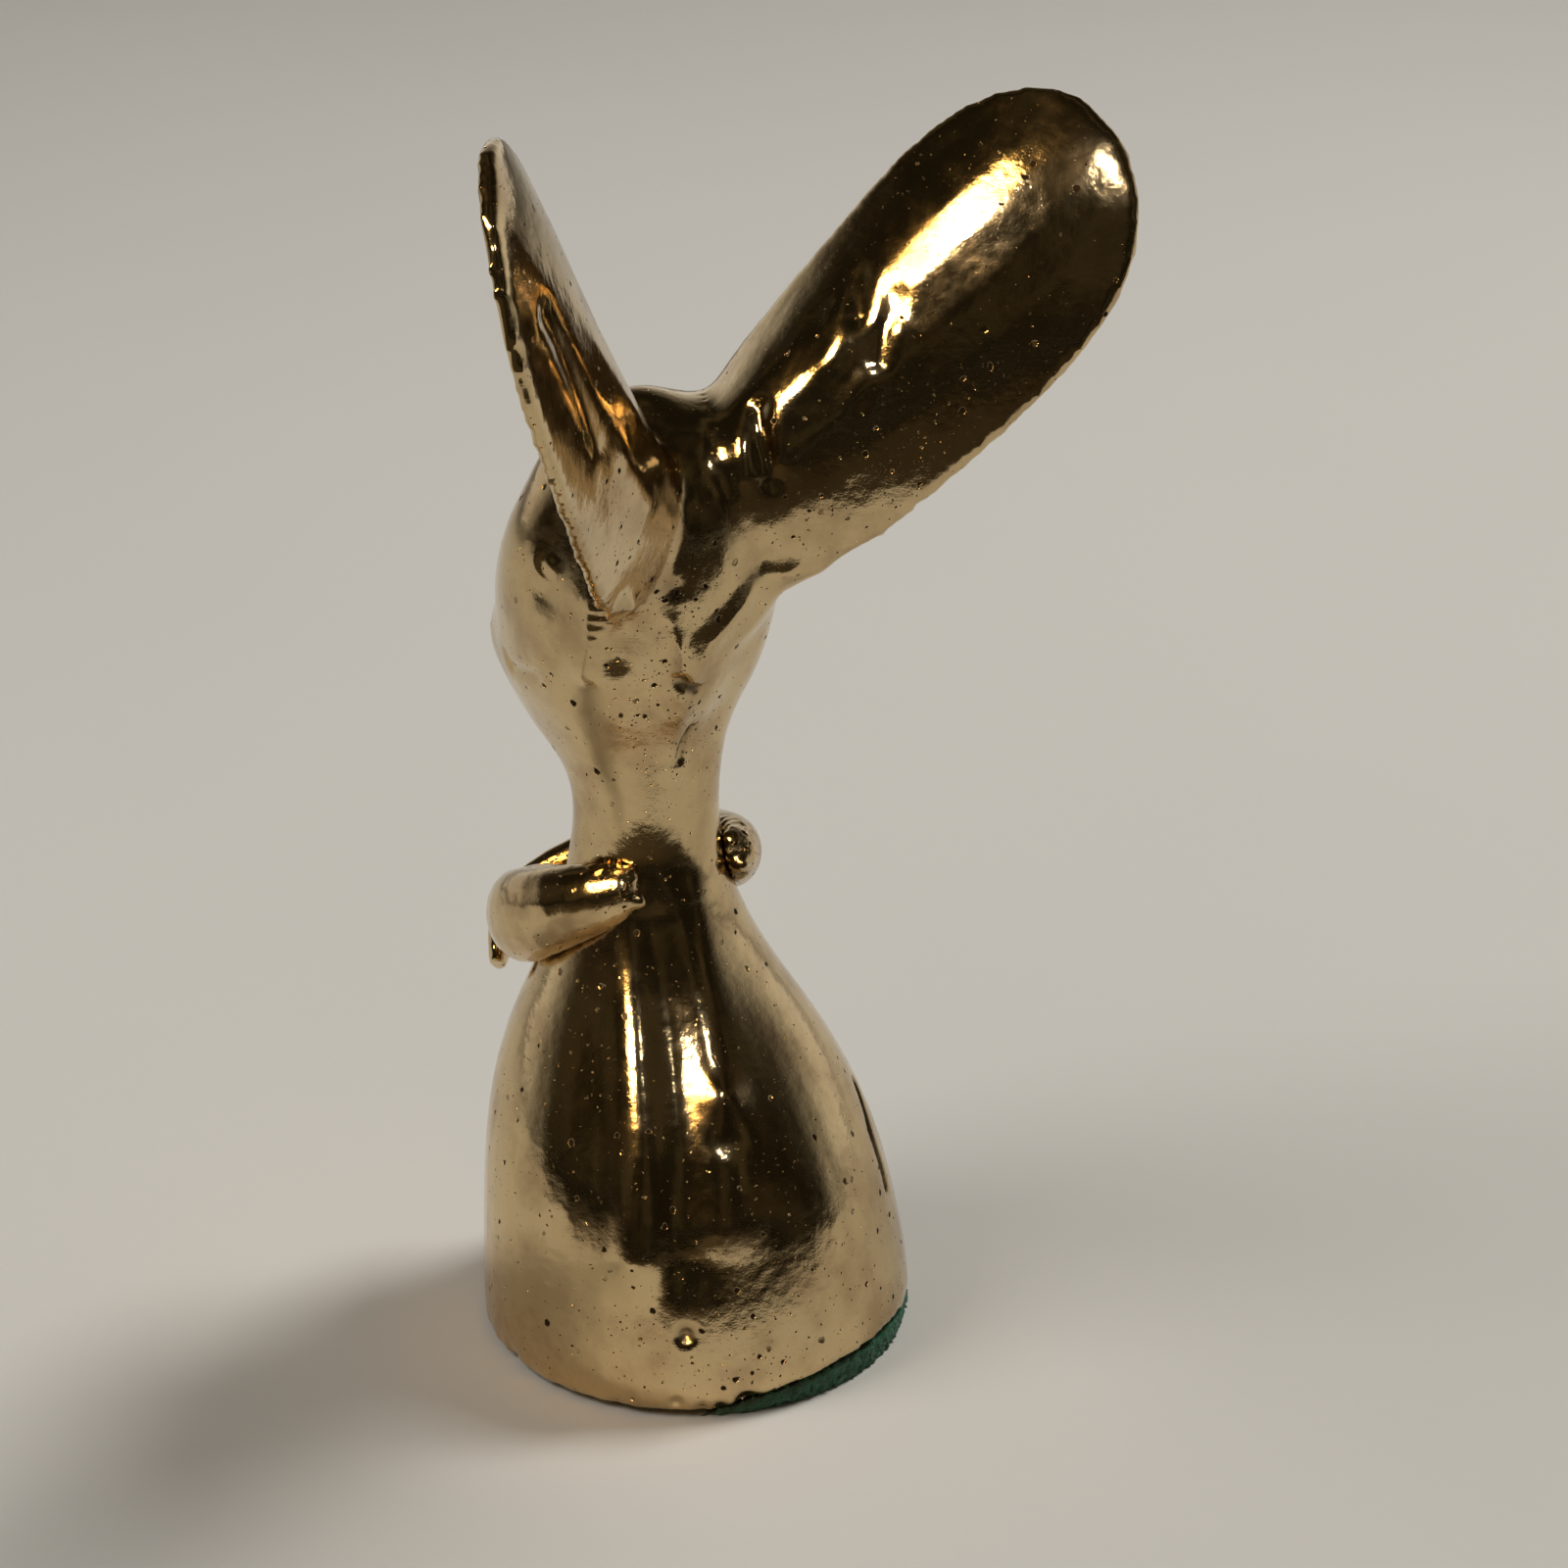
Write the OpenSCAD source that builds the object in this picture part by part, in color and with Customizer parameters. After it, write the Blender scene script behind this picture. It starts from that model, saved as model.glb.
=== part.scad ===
// Long-eared rabbit mascot for a radiator cap: brass castings pinned together,
// a threaded bush in the foot and a felt pad under it. The figure faces -Y and stands on z = 0.

/* [Bell] */
// Outside diameter of the bell at its foot
base_d = 36; // [30:0.5:43]
// Height of the joint between the bell and the head
neck_z = 45; // [40:0.5:54]
// Diameter of the neck at that joint
neck_d = 12; // [10.5:0.25:14]
// How far forward of the foot's centre the neck stands
lean = 6; // [3:0.5:8]
// Thickness of the bell's wall
wall = 3; // [2:0.25:3.5]
// Clearance around a casting where another one seats on it
seat_gap = 0.08; // [0.05:0.01:0.2]
// Height of the bell's lower edge above the floor
skirt_z = 0.4; // [0.2:0.1:0.8]

/* [Head] */
// Height of the crown above the neck joint
head_h = 35; // [29:0.5:42]
// Width of the head across its temples
head_w = 23; // [19:0.5:27.5]
// Reach of the muzzle in front of the neck's axis
face_reach = 16; // [13:0.5:19]
// Reach of the nape behind the neck's axis
nape_reach = 10.5; // [8.5:0.5:12.5]

/* [Ears] */
// Length of an ear from its root to its tip
ear_len = 45; // [37.5:0.5:54]
// Width of an ear at its widest
ear_w = 24; // [20:0.5:29]
// Depth of an ear's cup at its root
ear_cup = 9; // [7.5:0.5:11]
// Thickness of the ear along its middle at the root
ear_t = 4; // [3.2:0.1:5]
// Thickness of the ear at its rim
ear_rim = 1.1; // [0.8:0.1:1.6]
// Length of the left ear, which is drawn out a little more
left_len = 48; // [40:0.5:57]
// Depth of the left ear's cup at its root, which is flatter
left_cup = 6.5; // [5.5:0.25:9]
// How many degrees straighter the left ear stands than the right one
left_lift = 5.5; // [0:0.5:8]
// How many degrees the left ear is turned outward about its own length
left_turn = 14; // [0:1:18]
// How far the tip of an ear leans forward of a straight line
ear_bow = 1; // [0:0.25:2]

/* [Arms] */
// Height of the forearm's section
arm_h = 7; // [6:0.25:8.5]
// Thickness of the forearm's section
arm_t = 6; // [5:0.25:7.2]
// Height of the shoulders
shoulder_z = 39.5; // [36:0.5:44]

/* [Pins] */
// Diameter of the dowel through the neck
dowel_d = 5; // [4:0.25:6]
// Length of the neck dowel
dowel_len = 20; // [14:0.5:26]
// Diameter of the ear and shoulder pins
pin_d = 1.6; // [1.2:0.1:2]
// Length of the ear pins
pin_len = 9; // [7:0.5:11]
// Length of the shoulder pins
arm_pin_len = 4.6; // [3.6:0.2:5.2]
// Clearance on the diameter of a pin's hole
pin_fit = 0.1; // [0.05:0.01:0.2]

/* [Foot] */
// Thickness of the felt pad
felt_t = 2.4; // [1.6:0.1:3.5]
// Thickness of the disc that closes the bell
disc_t = 3.2; // [2.4:0.1:4.5]
// Outside diameter of the threaded bush
bush_d = 12; // [10:0.25:15]
// Length of the bush
bush_len = 11; // [8:0.5:14]
// Bore of the bush at the thread's minor diameter
bore_d = 6.5; // [5:0.1:8.2]

/* [Hidden] */

base_r = base_d / 2;
neck_r = neck_d / 2;
ROUND = 64;
EPS = 0.01;

function mix(a, b, t) = a + (b - a) * t;
function unit(v) = v / norm(v);

// Smooth curve through keys of [station, values...], read at station t
function span(keys, t, i = 0) = i >= len(keys) - 2 || t < keys[i + 1][0] ? i : span(keys, t, i + 1);
function at_key(keys, i) = keys[max(0, min(len(keys) - 1, i))];
function curve(keys, t) =
    let (
        i = span(keys, t),
        p0 = at_key(keys, i - 1), p1 = keys[i], p2 = keys[i + 1], p3 = at_key(keys, i + 2),
        s = (t - p1[0]) / (p2[0] - p1[0]),
        m1 = (p2 - p0) * (p2[0] - p1[0]) / (p2[0] - p0[0]),
        m2 = (p3 - p1) * (p2[0] - p1[0]) / (p3[0] - p1[0])
    )
    p1 * (2 * s ^ 3 - 3 * s ^ 2 + 1) + m1 * (s ^ 3 - 2 * s ^ 2 + s)
        + p2 * (3 * s ^ 2 - 2 * s ^ 3) + m2 * (s ^ 3 - s ^ 2);

// Solid through closed rings of the same number of points, with both ends capped
module loft(rings) {
    n = len(rings[0]);
    m = len(rings);
    polyhedron(
        points = [for (r = rings) each r],
        faces = [
            [for (i = [0:n - 1]) i],
            for (k = [0:m - 2]) for (i = [0:n - 1]) each [
                [k * n + i, (k + 1) * n + i, (k + 1) * n + (i + 1) % n],
                [k * n + i, (k + 1) * n + (i + 1) % n, k * n + (i + 1) % n]
            ],
            [for (i = [n - 1:-1:0]) (m - 1) * n + i]
        ],
        convexity = 6
    );
}

// Level ring about [0, y], with its own reach to the sides, the front and the back.
// point draws the front half in towards the middle line
function level_ring(z, y, side, front, back, point = 0, n = 40) = [
    for (i = [0:n - 1]) let (a = 360 * i / n, s = sin(a))
        [side * cos(a) * (s < 0 ? 1 - point * s ^ 2 : 1), y + (s < 0 ? front : back) * s, z]
];

// Bell: [height share, share of the flare from the neck to the foot, share of the lean]
BELL_KEYS = [
    [0.00, 1.00, 0.00], [0.06, 1.00, 0.00], [0.20, 0.95, 0.12], [0.34, 0.87, 0.30],
    [0.46, 0.74, 0.52], [0.56, 0.57, 0.70], [0.66, 0.36, 0.85], [0.76, 0.18, 0.95],
    [0.86, 0.06, 1.00], [0.94, 0.01, 1.00], [1.00, 0.00, 1.00]
];
BELL_STEPS = 20;
function bell_axis(z) = [0, -lean * curve(BELL_KEYS, z / neck_z)[2], z];
function bell_radius(z) = mix(neck_r, base_r, curve(BELL_KEYS, z / neck_z)[1]);
function bell_ring(z, grow = 0) =
    let (r = bell_radius(z) + grow) level_ring(z, bell_axis(z)[1], r, r, r);
module bell_form(z0, z1, grow = 0) {
    loft([for (i = [0:BELL_STEPS]) bell_ring(mix(z0, z1, i / BELL_STEPS), grow)]);
}

// Hollow of the bell, up to where the walls meet in the chest
hollow_top = neck_z * 0.62;
module bell_casting() {
    color("goldenrod") difference() {
        bell_form(skirt_z, neck_z);
        bell_form(felt_t + disc_t, hollow_top, -wall);
        cylinder(r = disc_r + seat_gap, h = disc_top + EPS, $fn = ROUND);
        raised_edge();
        neck_dowel_hole();
        shoulder_holes();
    }
}

// Head: [height share, side, front, back, point]; the reaches are shares of their own sizes
HEAD_KEYS = [
    [0.00, 0.52, 0.38, 0.57, 0.00], [0.08, 0.54, 0.46, 0.58, 0.00], [0.16, 0.62, 0.80, 0.56, 0.05],
    [0.23, 0.72, 0.95, 0.63, 0.10], [0.31, 0.83, 1.00, 0.77, 0.10], [0.42, 0.92, 0.92, 0.92, 0.10],
    [0.55, 0.98, 0.80, 1.00, 0.05], [0.68, 0.97, 0.62, 0.99, 0.00], [0.80, 0.85, 0.45, 0.90, 0.00],
    [0.90, 0.67, 0.34, 0.70, 0.00], [0.97, 0.40, 0.20, 0.42, 0.00], [1.00, 0.08, 0.05, 0.08, 0.00]
];
HEAD_STEPS = 20;
function head_ring(u, grow = 0) =
    let (k = curve(HEAD_KEYS, u))
    level_ring(
        neck_z + head_h * u + (u == 1 ? grow : 0), -lean,
        head_w / 2 * k[1] + grow, face_reach * k[2] + grow, nape_reach * k[3] + grow, k[4]
    );
module head_form(grow = 0) {
    loft([for (i = [0:HEAD_STEPS]) head_ring(i / HEAD_STEPS, grow)]);
}
module head_casting() {
    color("gold") difference() {
        head_form();
        neck_dowel_hole();
        ear_holes();
    }
}

// Ears. The left one is drawn, and the right one is its mirror image.
// The root is where the ear's middle line leaves the head
ear_root = [3.6, -4.4, neck_z + head_h * 0.67];
ear_way = unit([0.568, 0.408, 0.716]);
ear_across = unit(cross([0.79, -0.5, -0.34], ear_way));
ear_open = cross(ear_way, ear_across);
LIFT_AXIS = [0.2, -0.9, 0.36];
// [length share, lower width share, upper width share, cup share, thickness share, bow share]
EAR_KEYS = [
    [0.00, 0.70, 0.50, 1.00, 1.00, 0.00], [0.15, 0.92, 0.55, 0.92, 0.92, 0.00], [0.35, 1.01, 0.64, 0.68, 0.74, 0.00],
    [0.55, 1.05, 0.71, 0.48, 0.58, 0.10], [0.72, 1.02, 0.75, 0.36, 0.50, 0.30], [0.85, 0.88, 0.68, 0.25, 0.44, 0.60],
    [0.94, 0.62, 0.50, 0.13, 0.40, 0.80], [0.985, 0.36, 0.30, 0.05, 0.38, 0.95], [1.00, 0.20, 0.17, 0.01, 0.36, 1.00]
];
EAR_STEPS = 14;
EAR_POINTS = 10;
// One crescent across the ear: its back from rim to rim, then its hollow
function ear_ring(u, len, depth) =
    let (
        k = curve(EAR_KEYS, u), c = ear_root + ear_way * len * u + ear_open * ear_bow * k[5],
        lower = ear_w / 2 * k[1], upper = ear_w / 2 * k[2],
        cup = depth * k[3], t = max(ear_rim, ear_t * k[4]),
        sides = [for (i = [0:EAR_POINTS]) sin(90 * (-1 + 2 * i / EAR_POINTS))],
        back = [for (s = sides) c + ear_across * (s > 0 ? upper : lower) * s - ear_open * cup * cos(90 * abs(s))],
        front = [for (s = sides) c - ear_across * (s < 0 ? upper : lower) * s
            + ear_open * (ear_rim - (cup - t + ear_rim) * cos(90 * abs(s)))]
    )
    concat(back, front);
module ear_form(len, depth) {
    // The rings crowd towards the tip, to keep it round
    loft([for (i = [0:EAR_STEPS]) ear_ring(sin(90 * i / EAR_STEPS), len, depth)]);
}
// Turns the left ear up and outward about its root
module lifted() {
    translate(ear_root)
        rotate(a = left_lift, v = LIFT_AXIS)
            rotate(a = -left_turn, v = ear_way)
                translate(-ear_root)
                    children();
}
module left_ear() {
    color("gold") difference() {
        lifted() ear_form(left_len, left_cup);
        head_form(seat_gap);
        lifted() ear_pin_hole(left_cup);
    }
}
module right_ear() {
    color("gold") mirror([1, 0, 0]) difference() {
        ear_form(ear_len, ear_cup);
        head_form(seat_gap);
        ear_pin_hole(ear_cup);
    }
}

// Arms: [station, x, y, z, height, thickness] from the shoulder round to the paw. x is out to the arm's
// own side, y and z are from the neck's axis at the shoulders, and the last two are shares of the section
LEFT_ARM = [
    [0.00, 4.2, 4.6, 0.2, 0.55, 0.60], [0.10, 6.2, 3.2, -0.2, 0.80, 0.85], [0.28, 8.5, -1.0, -2.4, 1.02, 1.00],
    [0.48, 8.4, -5.6, -4.8, 1.14, 1.00], [0.66, 6.4, -9.0, -6.2, 1.04, 0.90], [0.84, 2.6, -10.6, -6.6, 0.84, 0.75],
    [1.00, -1.6, -10.4, -6.8, 0.50, 0.55]
];
// The right forearm lies over the left one, and its flat paw hangs down in front of it
RIGHT_ARM = [
    [0.00, 4.2, 4.6, 0.2, 0.55, 0.60], [0.10, 6.2, 3.2, -0.2, 0.80, 0.85], [0.28, 8.5, -1.0, -2.2, 1.00, 1.00],
    [0.46, 8.2, -6.2, -3.8, 1.02, 1.00], [0.64, 4.4, -11.4, -5.6, 0.90, 0.75], [0.82, -2.2, -13.6, -7.8, 0.80, 0.45],
    [0.93, -6.0, -12.6, -10.2, 0.74, 0.32], [1.00, -7.4, -11.4, -12.0, 0.45, 0.24]
];
ARM_STEPS = 16;
ARM_POINTS = 16;
ARM_LOOK = 0.02;
function arm_point(keys, t) = let (k = curve(keys, t)) [k[1], k[2] - lean, shoulder_z + k[3]];
function arm_ring(keys, t, grow = 0) =
    let (
        k = curve(keys, t), c = arm_point(keys, t),
        way = unit(arm_point(keys, min(1, t + ARM_LOOK)) - arm_point(keys, max(0, t - ARM_LOOK))),
        out = unit(cross(way, [0, 0, 1])), up = cross(out, way)
    )
    [
        for (i = [0:ARM_POINTS - 1]) let (a = -360 * i / ARM_POINTS)
            c + out * (arm_t / 2 * k[5] + grow) * cos(a) + up * (arm_h / 2 * k[4] + grow) * sin(a)
    ];
module arm_form(keys, grow = 0) {
    loft([for (i = [0:ARM_STEPS]) arm_ring(keys, i / ARM_STEPS, grow)]);
}
module left_arm() {
    color("goldenrod") difference() {
        arm_form(LEFT_ARM);
        bell_form(skirt_z, neck_z, seat_gap);
        shoulder_holes();
    }
}
module right_arm() {
    color("goldenrod") difference() {
        mirror([1, 0, 0]) arm_form(RIGHT_ARM);
        bell_form(skirt_z, neck_z, seat_gap);
        arm_form(LEFT_ARM, seat_gap);
        shoulder_holes();
    }
}

// Pins and their holes
module neck_pin(d, len) {
    translate([0, -lean, neck_z - len / 2]) cylinder(d = d, h = len, $fn = ROUND);
}
module neck_dowel_hole() {
    neck_pin(dowel_d + pin_fit, dowel_len + pin_fit);
}
module neck_dowel() {
    color("peru") neck_pin(dowel_d, dowel_len);
}

// Places a pin along +Z with its middle at a point and its length along a direction
module along(at, way) {
    translate(at)
        rotate([0, acos(way[2]), atan2(way[1], way[0])])
            children();
}

// Ear pins run in the thick of the ear's back, outside its middle line
EAR_PIN_U = 0.13;
EAR_PIN_S = -0.4;
function ear_pin_at(depth) =
    let (k = curve(EAR_KEYS, EAR_PIN_U))
    ear_root + ear_way * ear_len * EAR_PIN_U + ear_across * ear_w / 2 * k[1] * EAR_PIN_S
        - ear_open * (depth * k[3] * cos(90 * EAR_PIN_S) - ear_t * k[4] / 2);
module ear_pin(depth, d, len) {
    along(ear_pin_at(depth), ear_way) cylinder(d = d, h = len, center = true, $fn = ROUND);
}
module ear_pin_hole(depth) {
    ear_pin(depth, pin_d + pin_fit, pin_len + pin_fit);
}
module ear_holes() {
    lifted() ear_pin_hole(left_cup);
    mirror([1, 0, 0]) ear_pin_hole(ear_cup);
}
module ear_pins() {
    color("peru") {
        lifted() ear_pin(left_cup, pin_d, pin_len);
        mirror([1, 0, 0]) ear_pin(ear_cup, pin_d, pin_len);
    }
}

// Shoulder pins run level, from inside each arm towards the neck
SHOULDER_T = 0.1;
shoulder_at = arm_point(LEFT_ARM, SHOULDER_T);
shoulder_way = unit([shoulder_at[0], shoulder_at[1] + lean, 0]);
module shoulder_pin(d, len) {
    along([0, -lean, shoulder_at[2]] + shoulder_way * (bell_radius(shoulder_z) - 0.5), shoulder_way)
        cylinder(d = d, h = len, center = true, $fn = ROUND);
}
module shoulder_holes() {
    shoulder_pin(pin_d + pin_fit, arm_pin_len + pin_fit);
    mirror([1, 0, 0]) shoulder_pin(pin_d + pin_fit, arm_pin_len + pin_fit);
}
module shoulder_pins() {
    color("peru") {
        shoulder_pin(pin_d, arm_pin_len);
        mirror([1, 0, 0]) shoulder_pin(pin_d, arm_pin_len);
    }
}

// Foot: a disc closes the bell, and a bush with a flange sits in it
disc_r = base_r - wall;
disc_top = felt_t + disc_t;
flange_d = bush_d + 5;
flange_t = 1.6;
chamfer = 0.6;
module closing_disc() {
    color("darkkhaki") difference() {
        translate([0, 0, felt_t]) cylinder(r = disc_r, h = disc_t, $fn = ROUND);
        translate([0, 0, felt_t - 1]) cylinder(d = bush_d + pin_fit, h = disc_t + 2, $fn = ROUND);
    }
}
module stud_bush() {
    color("khaki") rotate_extrude($fn = ROUND) polygon([
        [bore_d / 2 + chamfer, felt_t], [bush_d / 2, felt_t], [bush_d / 2, disc_top],
        [flange_d / 2, disc_top], [flange_d / 2, disc_top + flange_t], [bush_d / 2, disc_top + flange_t],
        [bush_d / 2, felt_t + bush_len], [bore_d / 2, felt_t + bush_len], [bore_d / 2, felt_t + chamfer]
    ]);
}
// The casting ran short along one side of its foot. The edge rises there to the top of the felt,
// which swells out under it
EDGE_TURN = 105;
EDGE_SPAN = 50;
edge_start = base_r * cos(EDGE_SPAN);
edge_tilt = atan((felt_t - skirt_z) / (base_r - edge_start));
module raised_edge() {
    rotate([0, 0, EDGE_TURN])
        translate([edge_start, 0, skirt_z])
            rotate([0, -edge_tilt, 0])
                translate([-base_r, -base_r, -base_d]) cube([base_d * 2, base_d, base_d]);
}
felt_inset = 0.2;
module felt_pad() {
    color("darkgreen") difference() {
        union() {
            cylinder(r = disc_r, h = felt_t, $fn = ROUND);
            intersection() {
                cylinder(r = base_r - felt_inset, h = felt_t, $fn = ROUND);
                translate([0, 0, -seat_gap]) raised_edge();
            }
        }
        translate([0, 0, -1]) cylinder(d = bush_d, h = felt_t + 2, $fn = ROUND);
    }
}

bell_casting();
head_casting();
left_ear();
right_ear();
left_arm();
right_arm();
neck_dowel();
ear_pins();
shoulder_pins();
closing_disc();
stud_bush();
felt_pad();
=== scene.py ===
"""Looks of a cast brass rabbit car mascot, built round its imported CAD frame.

The castings are worked as a founder would finish them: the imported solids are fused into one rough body,
its joints are dressed, the surface is chased with strokes, and the body is sawn apart again at its joints.
Lengths inside the classes are in millimetres, and the object itself is in metres.
"""

import logging
import math
from dataclasses import dataclass
from enum import Enum

import bpy
import numpy as np
from mathutils import Matrix, Vector

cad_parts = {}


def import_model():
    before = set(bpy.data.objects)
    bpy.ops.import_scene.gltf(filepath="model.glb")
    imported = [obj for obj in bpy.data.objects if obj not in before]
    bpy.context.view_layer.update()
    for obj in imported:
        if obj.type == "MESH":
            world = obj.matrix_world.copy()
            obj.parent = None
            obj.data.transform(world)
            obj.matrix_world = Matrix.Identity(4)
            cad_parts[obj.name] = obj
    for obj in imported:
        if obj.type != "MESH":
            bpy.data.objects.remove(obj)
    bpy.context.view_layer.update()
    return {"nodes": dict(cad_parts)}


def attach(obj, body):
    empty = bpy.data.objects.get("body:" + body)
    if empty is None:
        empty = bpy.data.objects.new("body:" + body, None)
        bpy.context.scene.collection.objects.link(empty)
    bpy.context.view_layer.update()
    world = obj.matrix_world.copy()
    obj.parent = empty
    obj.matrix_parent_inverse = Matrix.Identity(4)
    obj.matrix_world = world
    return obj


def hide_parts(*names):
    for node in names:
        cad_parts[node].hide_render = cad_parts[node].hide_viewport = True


LOG = logging.getLogger("mascot")
MM = 0.001
BODY = "root"

Point = tuple[float, float, float]
Path = tuple[Point, ...]


# ---------------------------------------------------------------------------------------------------------
# Small tools
# ---------------------------------------------------------------------------------------------------------


class Profile(Enum):
    """Cross-section that a stroke leaves behind."""

    ROUND = "round"
    RIDGE = "ridge"


@dataclass(frozen=True)
class Stroke:
    """One pass of a chasing tool along a path on the surface.

    Args:
        path: Points of the path, in millimetres.
        radius: How far the stroke reaches from its path.
        height: How far it raises the surface, or sinks it where negative.
        profile: Its cross-section.
    """

    path: Path
    radius: float
    height: float
    profile: Profile = Profile.ROUND

    def weights(self, places: np.ndarray) -> np.ndarray:
        """How strongly each vertex is worked.

        Args:
            places: Vertex positions in millimetres.

        Returns:
            One weight from 0 to 1 for each vertex.
        """
        reach = path_distance(places, self.path) / self.radius
        if self.profile is Profile.RIDGE:
            weight = np.clip(1.0 - reach, 0.0, 1.0) ** 1.5
        else:
            weight = np.exp(-(reach**2)) * (reach < 3.0)
        return weight


def path_distance(places: np.ndarray, path: Path) -> np.ndarray:
    """Distance of each place from a path of straight stretches.

    Args:
        places: Positions in millimetres.
        path: Points of the path.

    Returns:
        One distance for each place.
    """
    points = np.array(path, float)
    if len(points) == 1:
        return np.linalg.norm(places - points[0], axis=1)
    best = np.full(len(places), np.inf)
    for start, end in zip(points[:-1], points[1:]):
        along = end - start
        share = np.clip((places - start) @ along / (along @ along), 0.0, 1.0)
        best = np.minimum(best, np.linalg.norm(places - start - share[:, None] * along, axis=1))
    return best


def only(obj: bpy.types.Object) -> bpy.types.Object:
    """Selects one object alone and makes it active."""
    if bpy.context.object is not None and bpy.context.object.mode != "OBJECT":
        bpy.ops.object.mode_set(mode="OBJECT")
    bpy.ops.object.select_all(action="DESELECT")
    obj.select_set(True)
    bpy.context.view_layer.objects.active = obj
    return obj


def deselect() -> None:
    """Deselects everything."""
    if bpy.context.object is not None and bpy.context.object.mode != "OBJECT":
        bpy.ops.object.mode_set(mode="OBJECT")
    bpy.ops.object.select_all(action="DESELECT")


def finish_modifier(obj: bpy.types.Object, kind: str, **values: object) -> None:
    """Adds one modifier with the given settings and applies it.

    Args:
        obj: The piece.
        kind: Modifier type.
        **values: Settings of the modifier.
    """
    only(obj)
    modifier = obj.modifiers.new(kind.title(), kind)
    for name, value in values.items():
        setattr(modifier, name, value)
    bpy.ops.object.modifier_apply(modifier=modifier.name)


def copy_of(source: bpy.types.Object, name: str) -> bpy.types.Object:
    """Copies a piece with a mesh of its own.

    Args:
        source: The piece to copy.
        name: Name of the copy.

    Returns:
        The copy.
    """
    twin = source.copy()
    twin.data = source.data.copy()
    twin.name = twin.data.name = name
    twin.parent = None
    twin.matrix_world = Matrix.Identity(4)
    twin.hide_render = twin.hide_viewport = False
    bpy.context.scene.collection.objects.link(twin)
    twin.data.materials.clear()
    return twin


def merged_copy(nodes: dict[str, bpy.types.Object], node: str) -> bpy.types.Object:
    """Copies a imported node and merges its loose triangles.

    Args:
        nodes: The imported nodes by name.
        node: Name of the node to copy.

    Returns:
        The merged copy.
    """
    twin = only(copy_of(nodes[node], f"{node}_rough"))
    bpy.ops.object.mode_set(mode="EDIT")
    bpy.ops.mesh.select_all(action="SELECT")
    bpy.ops.mesh.remove_doubles(threshold=1e-6)
    bpy.ops.object.mode_set(mode="OBJECT")
    return twin


def fuse(parts: list[bpy.types.Object], name: str, voxel: float) -> bpy.types.Object:
    """Joins closed solids and skins them with one even mesh.

    Args:
        parts: The solids, which are used up.
        name: Name of the result.
        voxel: Size of the mesh's cells in millimetres.

    Returns:
        One closed mesh round them all.
    """
    only(parts[0])
    for part in parts[1:]:
        part.select_set(True)
    bpy.ops.object.join()
    body = bpy.context.object
    body.name = body.data.name = name
    finish_modifier(body, "REMESH", mode="VOXEL", voxel_size=voxel * MM, adaptivity=0.0)
    return body


def surface(obj: bpy.types.Object) -> tuple[np.ndarray, np.ndarray]:
    """Vertex positions in millimetres and vertex normals of a mesh."""
    count = len(obj.data.vertices)
    places, normals = np.empty(count * 3), np.empty(count * 3)
    obj.data.vertices.foreach_get("co", places)
    obj.data.vertex_normals.foreach_get("vector", normals)
    return places.reshape(-1, 3) / MM, normals.reshape(-1, 3)


def reshape(obj: bpy.types.Object, places: np.ndarray) -> None:
    """Moves the vertices of a mesh to new places, given in millimetres."""
    obj.data.vertices.foreach_set("co", (places * MM).astype(np.float32).ravel())
    obj.data.update()


def chase(obj: bpy.types.Object, strokes: tuple[Stroke, ...]) -> None:
    """Works the surface of a casting with strokes, one after another.

    Args:
        obj: The casting.
        strokes: The strokes, in order.
    """
    for stroke in strokes:
        places, normals = surface(obj)
        reshape(obj, places + normals * (stroke.weights(places) * stroke.height)[:, None])


def dress(obj: bpy.types.Object, strokes: tuple[Stroke, ...], rounds: int) -> None:
    """Smooths a surface where strokes pass, as a file and a wheel blend a joint.

    Args:
        obj: The casting.
        strokes: Where it is dressed; their heights give the share, from 0 to 1.
        rounds: How many times the surface is averaged.
    """
    places, _ = surface(obj)
    weight = np.zeros(len(places))
    for stroke in strokes:
        weight = np.maximum(weight, stroke.weights(places) * stroke.height)
    group = obj.vertex_groups.new(name="dressed")
    for level in range(1, 11):
        chosen = np.nonzero((weight > (level - 0.5) / 10) & (weight <= (level + 0.5) / 10))[0]
        group.add(chosen.tolist(), level / 10, "REPLACE")
    finish_modifier(obj, "SMOOTH", factor=0.6, iterations=rounds, vertex_group="dressed")
    obj.vertex_groups.remove(obj.vertex_groups["dressed"])


def mark(obj: bpy.types.Object, name: str, strokes: tuple[Stroke, ...]) -> None:
    """Stores where strokes pass as an attribute that the finish reads.

    Args:
        obj: The piece.
        name: Name of the attribute.
        strokes: Where the mark lies; their heights are its strength there.
    """
    places, _ = surface(obj)
    weight = np.zeros(len(places))
    for stroke in strokes:
        weight = np.maximum(weight, stroke.weights(places) * stroke.height)
    layer = obj.data.attributes.get(name) or obj.data.attributes.new(name, "FLOAT", "POINT")
    layer.data.foreach_set("value", weight.astype(np.float32))


def saw(obj: bpy.types.Object, place: Point, normal: Point) -> None:
    """Cuts a casting at a plane, keeps the side that the normal points to, and closes the cut.

    Args:
        obj: The casting.
        place: A point of the plane, in millimetres.
        normal: The plane's normal.
    """
    only(obj)
    bpy.ops.object.mode_set(mode="EDIT")
    bpy.ops.mesh.select_all(action="SELECT")
    bpy.ops.mesh.bisect(
        plane_co=Vector(place) * MM, plane_no=normal, use_fill=True, clear_inner=True, threshold=1e-7
    )
    bpy.ops.object.mode_set(mode="OBJECT")


def shade(obj: bpy.types.Object, degrees: float = 50.0) -> None:
    """Shades a piece smooth, except at edges sharper than an angle."""
    only(obj)
    bpy.ops.object.shade_smooth_by_angle(angle=math.radians(degrees))


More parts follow.
